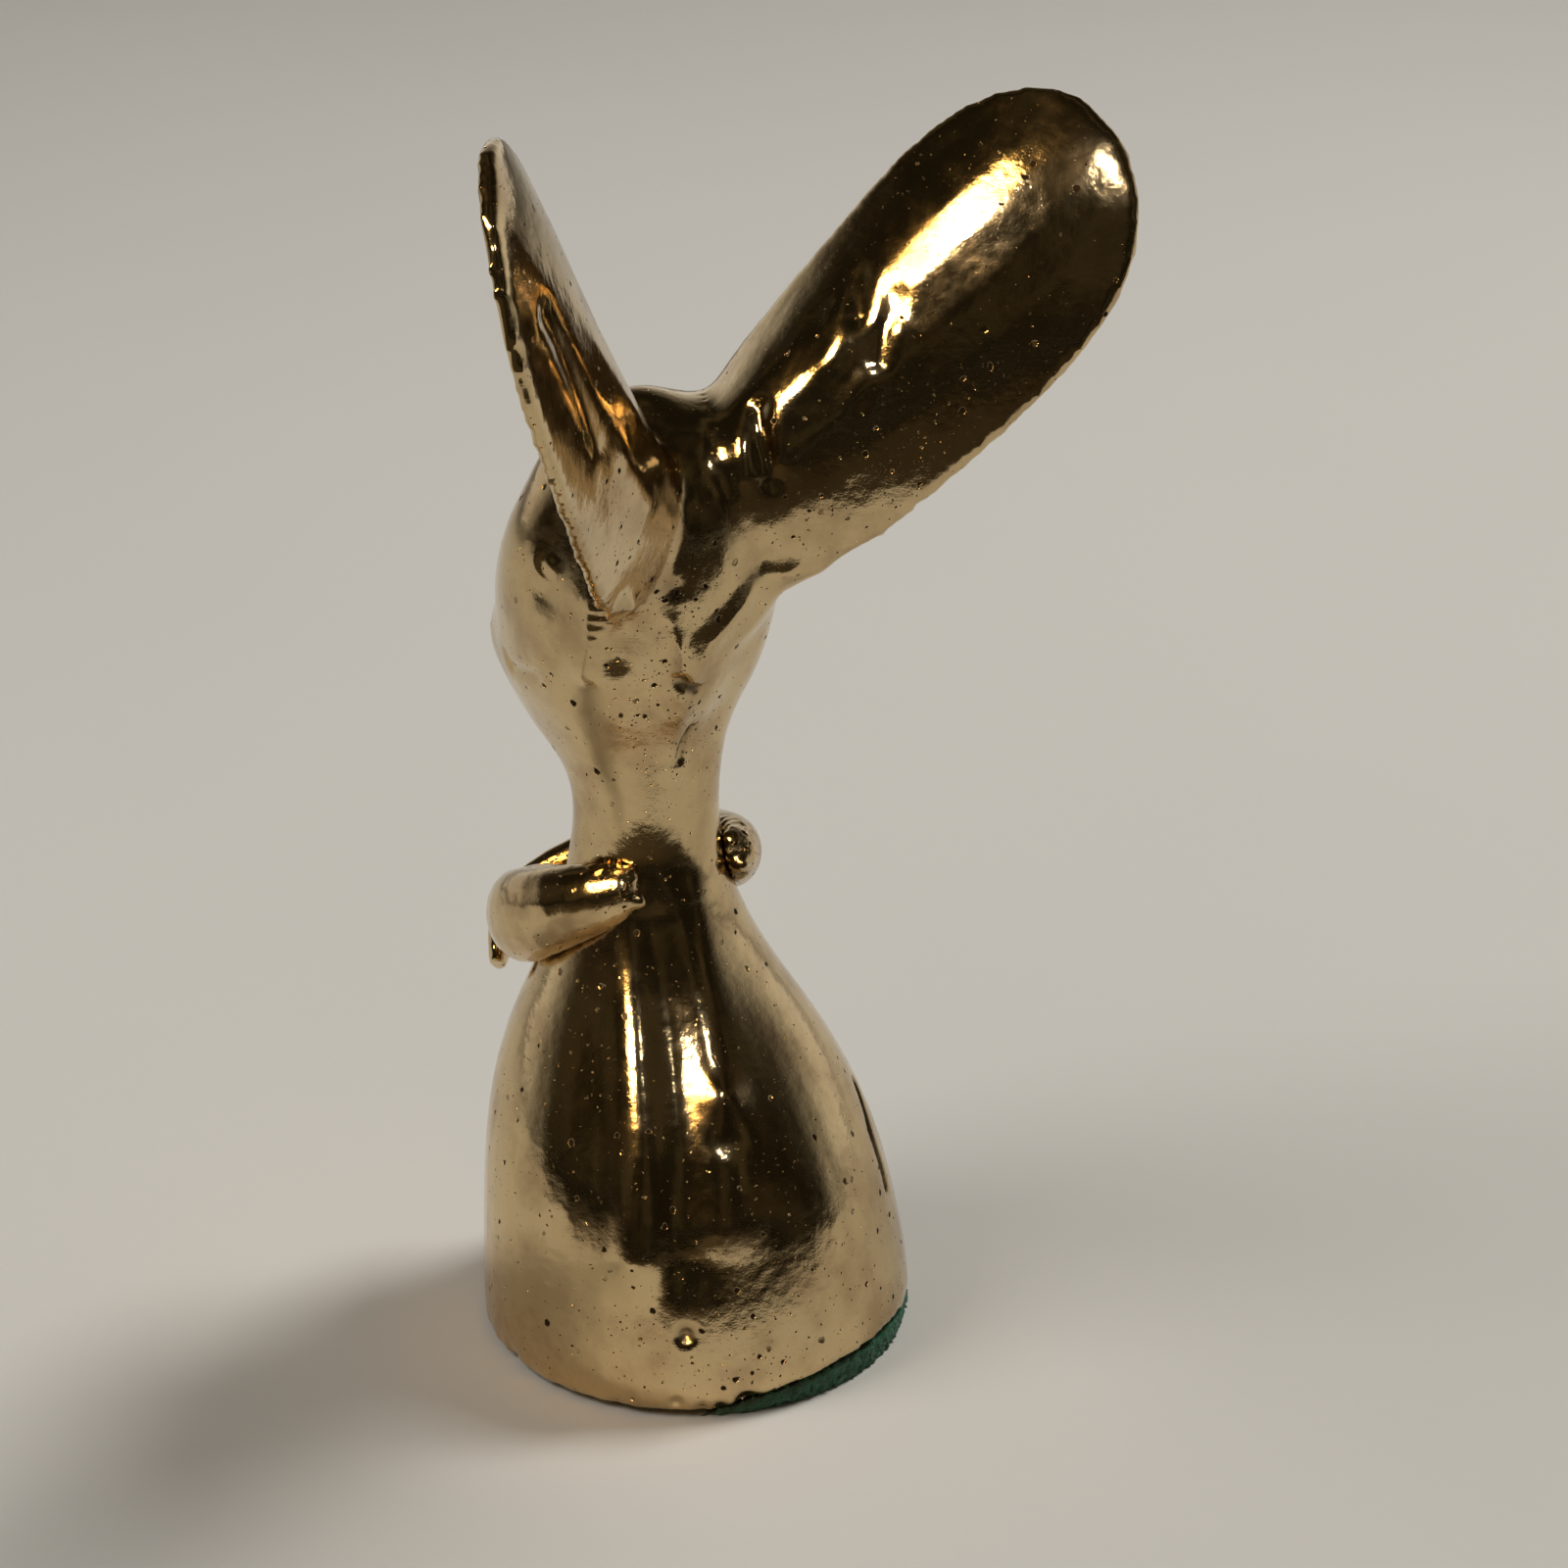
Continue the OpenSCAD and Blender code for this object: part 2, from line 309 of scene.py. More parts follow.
def hand_in(obj: bpy.types.Object, slot: str, material: bpy.types.Material, *nodes: str) -> None:
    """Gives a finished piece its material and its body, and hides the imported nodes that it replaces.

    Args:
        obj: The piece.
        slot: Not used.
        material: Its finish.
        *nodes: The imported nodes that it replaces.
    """
    obj.data.materials.clear()
    obj.data.materials.append(material)
    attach(obj, BODY)
    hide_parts(*nodes)
    LOG.info("%s: %d faces", obj.name, len(obj.data.polygons))


# ---------------------------------------------------------------------------------------------------------
# Finishes
# ---------------------------------------------------------------------------------------------------------


class Graph:
    """Short way to lay out a node tree."""

    def __init__(self, tree: bpy.types.NodeTree) -> None:
        """Starts from an empty tree."""
        self.tree = tree
        tree.nodes.clear()

    def add(
        self, kind: str, inputs: dict[object, object] | None = None, **settings: object
    ) -> bpy.types.Node:
        """Adds a node.

        Args:
            kind: Node type.
            inputs: Socket name or number to a value, or to an output socket to link from.
            **settings: Properties of the node.

        Returns:
            The node.
        """
        node = self.tree.nodes.new(kind)
        for name, value in settings.items():
            setattr(node, name, value)
        for socket, value in (inputs or {}).items():
            if isinstance(value, bpy.types.NodeSocket):
                self.tree.links.new(value, node.inputs[socket])
            else:
                node.inputs[socket].default_value = value
        return node

    def math(
        self, operation: str, first: object, second: object = 0.0, clamp: bool = False
    ) -> bpy.types.NodeSocket:
        """Adds a math node and returns its result."""
        node = self.add("ShaderNodeMath", {0: first, 1: second}, operation=operation, use_clamp=clamp)
        return node.outputs[0]

    def ramp(self, value: object, low: float, high: float) -> bpy.types.NodeSocket:
        """Runs a value smoothly from 0 at low to 1 at high."""
        inputs = {"Value": value, "From Min": low, "From Max": high}
        node = self.add("ShaderNodeMapRange", inputs, interpolation_type="SMOOTHSTEP")
        return node.outputs["Result"]

    def noise(
        self, place: object, scale: float, detail: float = 3.0, rough: float = 0.5
    ) -> bpy.types.NodeSocket:
        """Adds a noise texture and returns its value."""
        inputs = {"Vector": place, "Scale": scale, "Detail": detail, "Roughness": rough}
        return self.add("ShaderNodeTexNoise", inputs).outputs["Fac"]

    def blend(self, share: object, first: object, second: object, mode: str = "MIX") -> bpy.types.NodeSocket:
        """Blends two colours and returns the result."""
        node = self.add("ShaderNodeMix", data_type="RGBA", blend_type=mode)
        for socket, value in ((node.inputs[0], share), (node.inputs[6], first), (node.inputs[7], second)):
            if isinstance(value, bpy.types.NodeSocket):
                self.tree.links.new(value, socket)
            else:
                socket.default_value = value
        return node.outputs[2]

    def group(
        self, tree: bpy.types.NodeTree, place: object, values: dict[str, object]
    ) -> bpy.types.NodeSocket:
        """Places one of the shared groups and returns its only output.

        Args:
            tree: The group.
            place: Where it is read.
            values: Its own inputs by name.

        Returns:
            The group's first output.
        """
        node = self.add("ShaderNodeGroup", node_tree=tree)
        for label, value in {"Place": place, **values}.items():
            if isinstance(value, bpy.types.NodeSocket):
                self.tree.links.new(value, node.inputs[label])
            else:
                node.inputs[label].default_value = value
        return node.outputs[0]

    def millimetres(self) -> bpy.types.NodeSocket:
        """The place on the object, in millimetres."""
        place = self.add("ShaderNodeTexCoord").outputs["Object"]
        return self.add("ShaderNodeMapping", {"Vector": place, "Scale": (1 / MM,) * 3}).outputs[0]


def new_group(
    name: str, inputs: dict[str, float], outputs: dict[str, str]
) -> tuple[Graph, bpy.types.Node, bpy.types.Node]:
    """Makes a shader node group with a Vector input and its own values.

    Args:
        name: Name of the group.
        inputs: Names and defaults of its number inputs.
        outputs: Names of its outputs and their socket types.

    Returns:
        Its graph, input node and output node.
    """
    tree = bpy.data.node_groups.new(name, "ShaderNodeTree")
    tree.interface.new_socket("Place", in_out="INPUT", socket_type="NodeSocketVector")
    for label, value in inputs.items():
        socket = tree.interface.new_socket(label, in_out="INPUT", socket_type="NodeSocketFloat")
        socket.default_value = value
    for label, kind in outputs.items():
        tree.interface.new_socket(label, in_out="OUTPUT", socket_type=kind)
    graph = Graph(tree)
    return graph, graph.add("NodeGroupInput"), graph.add("NodeGroupOutput")


FLOAT = "NodeSocketFloat"


class Effects:
    """Surface effects that the finishes share. Places are in millimetres."""

    def __init__(self) -> None:
        """Builds every group once."""
        self.pits = self._pits()
        self.skin = self._skin()
        self.scratches = self._scratches()
        self.stain = self._stain()

    @staticmethod
    def _pits() -> bpy.types.NodeTree:
        """Gas pits and dross of a sand casting: a mask of the holes."""
        graph, taken, given = new_group("casting pits", {"Amount": 0.2, "Size": 0.5}, {"Mask": FLOAT})
        place, amount, size = taken.outputs["Place"], taken.outputs["Amount"], taken.outputs["Size"]
        warp = graph.add("ShaderNodeTexNoise", {"Vector": place, "Scale": 1.7, "Detail": 2.0})
        halved = {0: warp.outputs["Color"], 1: (0.5, 0.5, 0.5)}
        bent = graph.add("ShaderNodeVectorMath", halved, operation="MULTIPLY")
        moved = graph.add("ShaderNodeVectorMath", {0: place, 1: bent.outputs[0]}, operation="ADD")
        density = graph.math("DIVIDE", 0.8, size)
        cell = graph.add("ShaderNodeTexVoronoi", {"Vector": moved.outputs[0], "Scale": density})
        cell.inputs["Randomness"].default_value = 1.0
        chance = graph.add("ShaderNodeSeparateColor", {0: cell.outputs["Color"]})
        alive = graph.ramp(graph.math("SUBTRACT", amount, chance.outputs[0]), -0.02, 0.06)
        radius = graph.math("ADD", graph.math("MULTIPLY", chance.outputs[1], 0.22), 0.10)
        inside = graph.math("SUBTRACT", radius, cell.outputs["Distance"])
        hole = graph.ramp(inside, -0.03, 0.05)
        graph.tree.links.new(graph.math("MULTIPLY", hole, alive, clamp=True), given.inputs["Mask"])
        return graph.tree

    @staticmethod
    def _skin() -> bpy.types.NodeTree:
        """Orange-peel of a polished casting: a height."""
        graph, taken, given = new_group("orange peel", {"Coarse": 1.0, "Fine": 0.4}, {"Height": FLOAT})
        place = taken.outputs["Place"]
        swell = graph.noise(place, 0.35, 2.0)
        coarse = graph.noise(place, 1.4, 2.0)
        fine = graph.noise(place, 6.0, 3.0)
        coarse = graph.math("MULTIPLY", coarse, taken.outputs["Coarse"])
        total = graph.math("ADD", coarse, graph.math("MULTIPLY", swell, 2.0))
        total = graph.math("ADD", total, graph.math("MULTIPLY", fine, taken.outputs["Fine"]))
        graph.tree.links.new(total, given.inputs["Height"])
        return graph.tree

    @staticmethod
    def _scratches() -> bpy.types.NodeTree:
        """Fine parallel scratches of a file or a wheel, across the local Z of the given place."""
        graph, taken, given = new_group("tool scratches", {"Pitch": 0.12}, {"Height": FLOAT})
        parts = graph.add("ShaderNodeSeparateXYZ", {0: taken.outputs["Place"]})
        rate = graph.math("DIVIDE", 1.0, taken.outputs["Pitch"])
        level = graph.math("MULTIPLY", parts.outputs["Z"], rate)
        drift = graph.math("MULTIPLY", parts.outputs["X"], 0.25)
        swing = graph.math("MULTIPLY", parts.outputs["Y"], 0.25)
        stretched = graph.add("ShaderNodeCombineXYZ", {"X": drift, "Y": swing, "Z": level})
        graph.tree.links.new(graph.noise(stretched.outputs[0], 1.0, 4.0, 0.6), given.inputs["Height"])
        return graph.tree

    @staticmethod
    def _stain() -> bpy.types.NodeTree:
        """Clouds of tarnish: a mask."""
        graph, taken, given = new_group("tarnish", {"Amount": 0.4, "Scale": 0.12}, {"Mask": FLOAT})
        place = taken.outputs["Place"]
        inputs = {"Vector": place, "Scale": taken.outputs["Scale"], "Detail": 6.0}
        cloud = graph.add("ShaderNodeTexNoise", inputs)
        cloud.inputs["Roughness"].default_value = 0.62
        edge = graph.math("SUBTRACT", 1.0, taken.outputs["Amount"])
        lifted = graph.math("SUBTRACT", cloud.outputs["Fac"], graph.math("MULTIPLY", edge, 0.7))
        graph.tree.links.new(graph.ramp(lifted, -0.05, 0.25), given.inputs["Mask"])
        return graph.tree


SOOT = (0.030, 0.020, 0.012, 1.0)


@dataclass(frozen=True)
class BrassFinish:
    """Polished cast brass, with pits, scratches and tarnish.

    Args:
        name: Name of the material.
        bright: Colour of clean metal.
        stained: Colour where it is tarnished.
        polish: Roughness where it is clean.
        pitting: Share of cells that hold a pit.
        tarnish: Share of the surface that is stained.
        peel: Depth of the orange peel, in millimetres.
        grain: Depth of the fine scratches, in millimetres.
        large_pit: Size of the large pits.
        small_pit: Size of the small ones.
        pit_depth: Depth of a pit.
        file_depth: Depth of the coarse scratches where the metal is filed.
    """

    name: str
    bright: tuple[float, float, float, float] = (0.64, 0.485, 0.265, 1.0)
    stained: tuple[float, float, float, float] = (0.40, 0.27, 0.14, 1.0)
    polish: float = 0.08
    pitting: float = 0.10
    tarnish: float = 0.35
    peel: float = 0.016
    grain: float = 0.003
    large_pit: float = 0.75
    small_pit: float = 0.26
    pit_depth: float = 0.10
    file_depth: float = 0.05

    def build(self, effects: Effects) -> bpy.types.Material:
        """Builds the material.

        Args:
            effects: The shared groups.

        Returns:
            The material.
        """
        material = bpy.data.materials.new(self.name)
        material.use_nodes = True
        graph = Graph(material.node_tree)
        scaled = graph.millimetres()
        porous = graph.add("ShaderNodeAttribute", attribute_name="porous").outputs["Fac"]
        filed = graph.add("ShaderNodeAttribute", attribute_name="filed").outputs["Fac"]
        sooty = graph.add("ShaderNodeAttribute", attribute_name="sooty").outputs["Fac"]

        amount = graph.math("ADD", graph.math("MULTIPLY", porous, 0.75), self.pitting)
        large = graph.group(effects.pits, scaled, {"Amount": amount, "Size": self.large_pit})
        small = graph.group(effects.pits, scaled, {"Amount": amount, "Size": self.small_pit})
        pits = graph.math("MAXIMUM", large, small)
        stain = graph.group(effects.stain, scaled, {"Amount": self.tarnish, "Scale": 0.16})
        peel = graph.group(effects.skin, scaled, {"Coarse": 1.0, "Fine": 0.35})
        grain = graph.group(effects.scratches, scaled, {"Pitch": 0.12})
        coarse = graph.group(effects.scratches, scaled, {"Pitch": 0.45})

        tone = graph.blend(graph.math("MULTIPLY", stain, 0.75), self.bright, self.stained)
        speckle = graph.ramp(graph.noise(scaled, 3.2, 4.0, 0.7), 0.55, 0.75)
        tone = graph.blend(graph.math("MULTIPLY", speckle, 0.35), tone, self.stained)
        pits = graph.math("MAXIMUM", pits, sooty, clamp=True)
        tone = graph.blend(pits, tone, SOOT)

        smear = graph.noise(scaled, 0.5, 4.0, 0.6)
        rough = graph.math("ADD", self.polish, graph.math("MULTIPLY", graph.ramp(smear, 0.35, 0.8), 0.06))
        rough = graph.math("ADD", rough, graph.math("MULTIPLY", stain, 0.08))
        rough = graph.math("ADD", rough, graph.math("MULTIPLY", filed, 0.12))
        rough = graph.math("MAXIMUM", rough, graph.math("MULTIPLY", pits, 0.7), clamp=True)

        peel_depth = graph.math("ADD", self.peel, graph.math("MULTIPLY", porous, 0.05))
        height = graph.math("MULTIPLY", peel, peel_depth)
        height = graph.math("ADD", height, graph.math("MULTIPLY", grain, self.grain))
        file_marks = graph.math("MULTIPLY", graph.math("MULTIPLY", coarse, filed), self.file_depth)
        height = graph.math("ADD", height, file_marks)
        height = graph.math("SUBTRACT", height, graph.math("MULTIPLY", pits, self.pit_depth))
        bump = graph.add("ShaderNodeBump", {"Strength": 1.0, "Distance": MM, "Height": height})

        shader = graph.add("ShaderNodeBsdfPrincipled", {
            "Base Color": tone, "Roughness": rough, "Metallic": 1.0, "Normal": bump.outputs[0],
        })
        graph.add("ShaderNodeOutputMaterial", {"Surface": shader.outputs[0]})
        return material


@dataclass(frozen=True)
class FeltFinish:
    """Pressed green wool.

    Args:
        name: Name of the material.
        deep: Colour between the fibres.
        light: Colour of the fibres.
    """

    name: str = "green felt"
    deep: tuple[float, float, float, float] = (0.004, 0.035, 0.020, 1.0)
    light: tuple[float, float, float, float] = (0.012, 0.220, 0.095, 1.0)

    def build(self, effects: Effects) -> bpy.types.Material:
        """Builds the material.

        Args:
            effects: The shared groups.

        Returns:
            The material.
        """
        material = bpy.data.materials.new(self.name)
        material.use_nodes = True
        graph = Graph(material.node_tree)
        scaled = graph.millimetres()
        turned = graph.add("ShaderNodeMapping", {"Vector": scaled, "Rotation": (0.6, 1.1, 0.4)}).outputs[0]
        fibres = graph.group(effects.scratches, scaled, {"Pitch": 0.10})
        crossed = graph.group(effects.scratches, turned, {"Pitch": 0.10})
        nap = graph.math("MULTIPLY", graph.math("ADD", fibres, crossed), 0.5)
        tufts = graph.noise(scaled, 1.3, 5.0, 0.7)
        share = graph.math("ADD", graph.math("MULTIPLY", nap, 0.6), graph.math("MULTIPLY", tufts, 0.4))
        tone = graph.blend(graph.ramp(share, 0.3, 0.7), self.deep, self.light)
        height = graph.math("ADD", nap, tufts)
        bump = graph.add("ShaderNodeBump", {"Strength": 1.0, "Distance": 0.25 * MM, "Height": height})
        shader = graph.add("ShaderNodeBsdfPrincipled", {
            "Base Color": tone, "Roughness": 0.95, "Sheen Weight": 0.3, "Sheen Roughness": 0.5,
            "Normal": bump.outputs[0],
        })
        graph.add("ShaderNodeOutputMaterial", {"Surface": shader.outputs[0]})
        return material


# ---------------------------------------------------------------------------------------------------------
# Castings
# ---------------------------------------------------------------------------------------------------------

@dataclass
class Castings:
    """Bell, head and ears: fused, dressed, chased and sawn apart again.

    Args:
        voxel: Cell of the fused mesh.
        neck_z: Height of the joint between bell and head.
        ear_cut: A point of the left ear's joint plane; the right one mirrors it.
        ear_cut_normal: Normal of that plane, towards the ear.
        foot_r: Radius of the foot.
        seat_r: Radius of the disc's seat in the bell.
        seat_top: Height of the top of that seat.
        hollow: Height, radius and shift along Y of each step of the bell's hollow above the seat.
        file_pitch: Pitch of the file's marks.
        chips: How many chips the foot's edge has.
        seed: Seed of their places.
    """

    voxel: float = 0.52
    neck_z: float = 45.0
    ear_cut: Point = (6.0, 2.0, 75.0)
    ear_cut_normal: Point = (0.85, 0.30, 0.43)
    foot_r: float = 18.0
    seat_r: float = 15.08
    seat_top: float = 5.61
    hollow: Path = (
        (9.0, 14.4, -0.7), (15.3, 13.4, -1.8), (20.7, 11.9, -3.1), (25.2, 9.8, -4.2), (27.9, 8.3, -4.8)
    )
    file_pitch: float = 0.85
    chips: int = 34
    seed: int = 11

    def joints(self) -> tuple[Stroke, ...]:
        """Where the ears and the neck are blended into the head."""
        left: Path = ((2, 2, 79), (7, 5, 75), (9, 4, 70), (10, 0, 66))
        front: Path = ((2, -4, 80), (6, -7, 78), (9, -7, 73), (10, -3, 67))
        strokes = [Stroke(((6, -6, 45), (0, 0, 45), (-6, -6, 45), (0, -12, 45), (6, -6, 45)), 4.0, 1.0)]
        for side in (1, -1):
            for path in (left, front):
                strokes.append(Stroke(tuple((side * x, y, z) for x, y, z in path), 3.2, 1.0))
            strokes.append(Stroke(((side * 3, 3.4, 63), (side * 6, 4.2, 65), (side * 10, 5, 68.5)), 3.0, 1.0))
        return tuple(strokes)

    def file_marks(self) -> tuple[Stroke, ...]:
        """Even grooves that a file left in the hollow behind the cheek."""
        return tuple(
            Stroke(((6.4, 3.4, low), (9.8, 0.2, low)), 0.26, -0.24)
            for low in np.arange(60.8, 66.4, self.file_pitch).tolist()
        )

    def bell_details(self) -> tuple[Stroke, ...]:
        """Ridges of the back of the bell with a valley between them, pits and a torn seam."""
        return (
            Stroke(((6, -1, 38), (7.5, 2, 30), (10.5, 6.5, 21), (12.5, 8.6, 13)), 2.3, 0.85),
            Stroke(((4.5, 0.8, 37), (5.5, 3.5, 29), (8, 8, 20), (10, 11, 13)), 2.6, -0.6),
            Stroke(((1.5, 0.6, 38), (2.4, 4, 31), (4, 8.5, 24.6), (6.6, 12.9, 16)), 2.8, 0.55),
            Stroke(((4.0, 8.8, 24.8),), 1.6, 0.45),
            Stroke(((4.8, 10.2, 21.5),), 1.2, -0.3),
            Stroke(((11.3, 13.0, 7.3),), 0.55, -0.6),
            Stroke(((-12.1, 6.4, 19.6), (-11.1, 9.6, 16.5), (-11.3, 11.4, 12)), 0.4, -0.5),
            Stroke(((-12.6, 7.2, 19.2), (-11.6, 9.9, 16.9)), 0.4, 0.4),
        )

    def nape_details(self) -> tuple[Stroke, ...]:
        """Ridges that run down from the ears' lower rims, with filed flats between them."""
        return (
            Stroke(((-8.5, 3.8, 66), (-3.5, 3.4, 62.5)), 2.0, 0.5),
            Stroke(
                ((-9, 4.6, 67), (-3, 4.6, 65.5), (1.2, 4.2, 62), (2.6, 2.6, 58), (1.6, 0, 50)),
                1.9, 0.45, Profile.RIDGE,
            ),
            Stroke(((11.5, 4.8, 69.2), (8, 4.6, 66), (4.6, 4.2, 64), (3, 3, 60)), 1.5, 0.7, Profile.RIDGE),
            Stroke(((4.8, 3, 63), (5, 1.4, 57)), 2.2, -0.55),
            Stroke(((-3.4, 2.5, 60), (-2.8, 0.6, 54)), 2.6, -0.55),
            Stroke(((9, 0.4, 65.7), (9.3, -1.3, 59.9)), 1.2, 0.55),
            Stroke(((8, 1.8, 64.5), (8, 1.0, 61)), 1.5, -0.6),
            Stroke(((4.4, 4.2, 66.8),), 0.8, -0.5),
            Stroke(((5, 1.2, 55.7),), 0.6, -0.5),
            Stroke(((0.6, 0.4, 53.4), (1.2, 0.2, 50.6)), 0.45, -0.4),
            Stroke(((1.6, 2.6, 57.6), (3.2, 2.8, 58.6)), 0.6, -0.45),
        )

    def face_details(self) -> tuple[Stroke, ...]:
        """A plain rabbit's face: eye sockets with ringed eyes, nose, cleft lip and cheeks."""
        strokes = [
            Stroke(((-1.5, -21.6, 57.6), (0, -22, 57.0), (1.5, -21.6, 57.6)), 1.2, 0.5),
            Stroke(((0, -22.2, 56.2), (0, -21.8, 53.8)), 0.6, -0.5),
            Stroke(((-4.5, -18.5, 54.2), (0, -21.8, 53.5), (4.5, -18.5, 54.2)), 0.6, -0.5),
            Stroke(((0, -18.5, 62), (0, -17, 68)), 3.0, -0.4),
        ]
        for side in (1, -1):
            eye = [
                (side * 10.9, -4.2 + 1.5 * math.cos(turn), 68.0 + 1.5 * math.sin(turn))
                for turn in (step * math.pi / 5 for step in range(11))
            ]
            strokes += [
                Stroke(((side * 10.6, -2.6, 70.5), (side * 11, -4.4, 66.2)), 2.7, -0.8),
                Stroke(tuple(eye), 0.5, 0.4),
                Stroke(((side * 10.6, -4.2, 68.0),), 0.7, 0.35),
                Stroke(
                    ((side * 9.8, -13, 58.2), (side * 9, -11.9, 56.9), (side * 10.1, -7, 57.9)), 0.6, -0.35
                ),
                Stroke(((side * 5, -18.5, 57.5),), 2.6, 0.5),
            ]
        return tuple(strokes)

    def ear_details(self) -> tuple[Stroke, ...]:
        """Dents and folds on the ears and on the crown between them."""
        return (
            Stroke(((-12.8, 4.6, 89.2), (-11.4, 6.4, 86.6)), 1.0, -0.6),
            Stroke(((-10.6, 5.2, 86.6), (-9.0, 6.4, 83.4)), 1.5, 0.45),
            Stroke(((-14.6, 7.4, 87.4), (-12.0, 8.4, 83.2)), 1.0, -0.35),
            Stroke(((-13.4, 8.6, 85.2), (-9.6, 8.6, 81.0)), 1.1, 0.35),
            Stroke(((-4.4, 3, 79.6), (-3.8, 4.5, 76.9), (-4.2, 5.0, 74.4)), 0.9, -0.6),
            Stroke(((-2.0, 3.6, 78.4), (-2.2, 4.4, 75.0)), 1.0, 0.35),
            Stroke(((2.2, -2.0, 80.5),), 1.2, 0.4),
            Stroke(((0.2, 0.6, 79.8),), 0.9, -0.4),
            Stroke(((9.4, 6.6, 76.0), (13.0, 8.6, 80.4)), 1.6, 0.45),
            Stroke(((17.0, 11.4, 83.4), (24.0, 15.6, 95.4)), 1.4, -0.3),
        )

    def foot_details(self) -> tuple[Stroke, ...]:
        """Chips along the foot's edge, thicker where the casting ran short."""
        rng = np.random.default_rng(self.seed)
        half = self.chips // 2
        turns = np.radians(np.concatenate((rng.uniform(50, 160, half), rng.uniform(0, 360, half))))
        reach = rng.uniform(0.4, 0.9, len(turns))
        return tuple(
            Stroke(
                ((self.foot_r * math.cos(turn), self.foot_r * math.sin(turn), rng.uniform(0.6, 1.4)),),
                float(size), -0.35,
            )
            for turn, size in zip(turns, reach)
        )

    def body(self, nodes: dict[str, bpy.types.Object]) -> bpy.types.Object:
        """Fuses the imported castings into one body, dresses its joints and chases it.

        Args:
            nodes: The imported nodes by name.

        Returns:
            The worked body.
        """
        parts = [merged_copy(nodes, "bell_casting"), self._plug()]
        parts += [merged_copy(nodes, name) for name in ("head_casting", "left_ear", "right_ear")]
        body = fuse(parts, "figure", self.voxel)
        finish_modifier(body, "SMOOTH", factor=0.5, iterations=4)
        dress(body, self.joints(), 40)
        finish_modifier(body, "SUBSURF", levels=1, render_levels=1)
        chase(body, self.bell_details() + self.nape_details() + self.face_details())
        chase(body, self.file_marks() + self.ear_details() + self.foot_details())
        finish_modifier(body, "SMOOTH", factor=0.5, iterations=1)
        return body

    def _plug(self) -> bpy.types.Object:
        """A plate that seals the bell's hollow, so that the fused body comes out solid."""
        deselect()
        bpy.ops.mesh.primitive_cylinder_add(
            vertices=64, radius=(self.seat_r + 1.2) * MM, depth=1.6 * MM,
            location=(0, 0, (self.seat_top - 1) * MM),
        )
        return bpy.context.object

    def _core(self) -> bpy.types.Object:
        """The solid that fills the disc's seat and the bell's hollow."""
        deselect()
        depth = self.seat_top + 3.0
        bpy.ops.mesh.primitive_cylinder_add(
            vertices=64, radius=self.seat_r * MM, depth=depth * MM,
            location=(0, 0, (self.seat_top - depth / 2) * MM),
        )
        core = bpy.context.object
        bpy.ops.object.transform_apply(location=True, rotation=True, scale=True)
        bpy.ops.object.mode_set(mode="EDIT")
        bpy.ops.mesh.select_mode(type="FACE")
        bpy.ops.mesh.select_all(action="DESELECT")
        bpy.ops.object.mode_set(mode="OBJECT")
        for face in core.data.polygons:
            face.select = face.normal.z > 0.9
        bpy.ops.object.mode_set(mode="EDIT")
        low, reach, shift = self.seat_top, self.seat_r, 0.0
        for height, radius, place in self.hollow:
            bpy.ops.mesh.extrude_region_move(
                TRANSFORM_OT_translate={"value": (0, (place - shift) * MM, (height - low) * MM)}
            )
            share = radius / reach
            bpy.ops.transform.resize(value=(share, share, 1), center_override=(0, place * MM, height * MM))
            low, reach, shift = height, radius, place
        bpy.ops.object.mode_set(mode="OBJECT")
        return core

    def build(self, nodes: dict[str, bpy.types.Object], finishes: dict[str, bpy.types.Material]) -> None:
        """Builds the four castings.

        Args:
            nodes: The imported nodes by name.
            finishes: Materials by name.
        """
        body = self.body(nodes)
        left = copy_of(body, "ear_left")
        saw(left, self.ear_cut, self.ear_cut_normal)
        x, y, z = self.ear_cut
        nx, ny, nz = self.ear_cut_normal
        right = copy_of(body, "ear_right")
        saw(right, (-x, y, z), (-nx, ny, nz))
        bell = copy_of(body, "bell")
        saw(bell, (0, 0, self.neck_z), (0, 0, -1))
        core = self._core()
        finish_modifier(bell, "BOOLEAN", operation="DIFFERENCE", object=core, solver="EXACT")
        bpy.data.objects.remove(core)
        head = body
        head.name = head.data.name = "head"
        saw(head, (0, 0, self.neck_z), (0, 0, 1))
        saw(head, self.ear_cut, (-nx, -ny, -nz))
        saw(head, (-x, y, z), (nx, -ny, -nz))
        pieces = {"bell_casting": bell, "head_casting": head, "left_ear": left, "right_ear": right}
        for node, piece in pieces.items():
            self._mark(piece)
            shade(piece)
            hand_in(piece, "cast_brass", finishes[node], node)

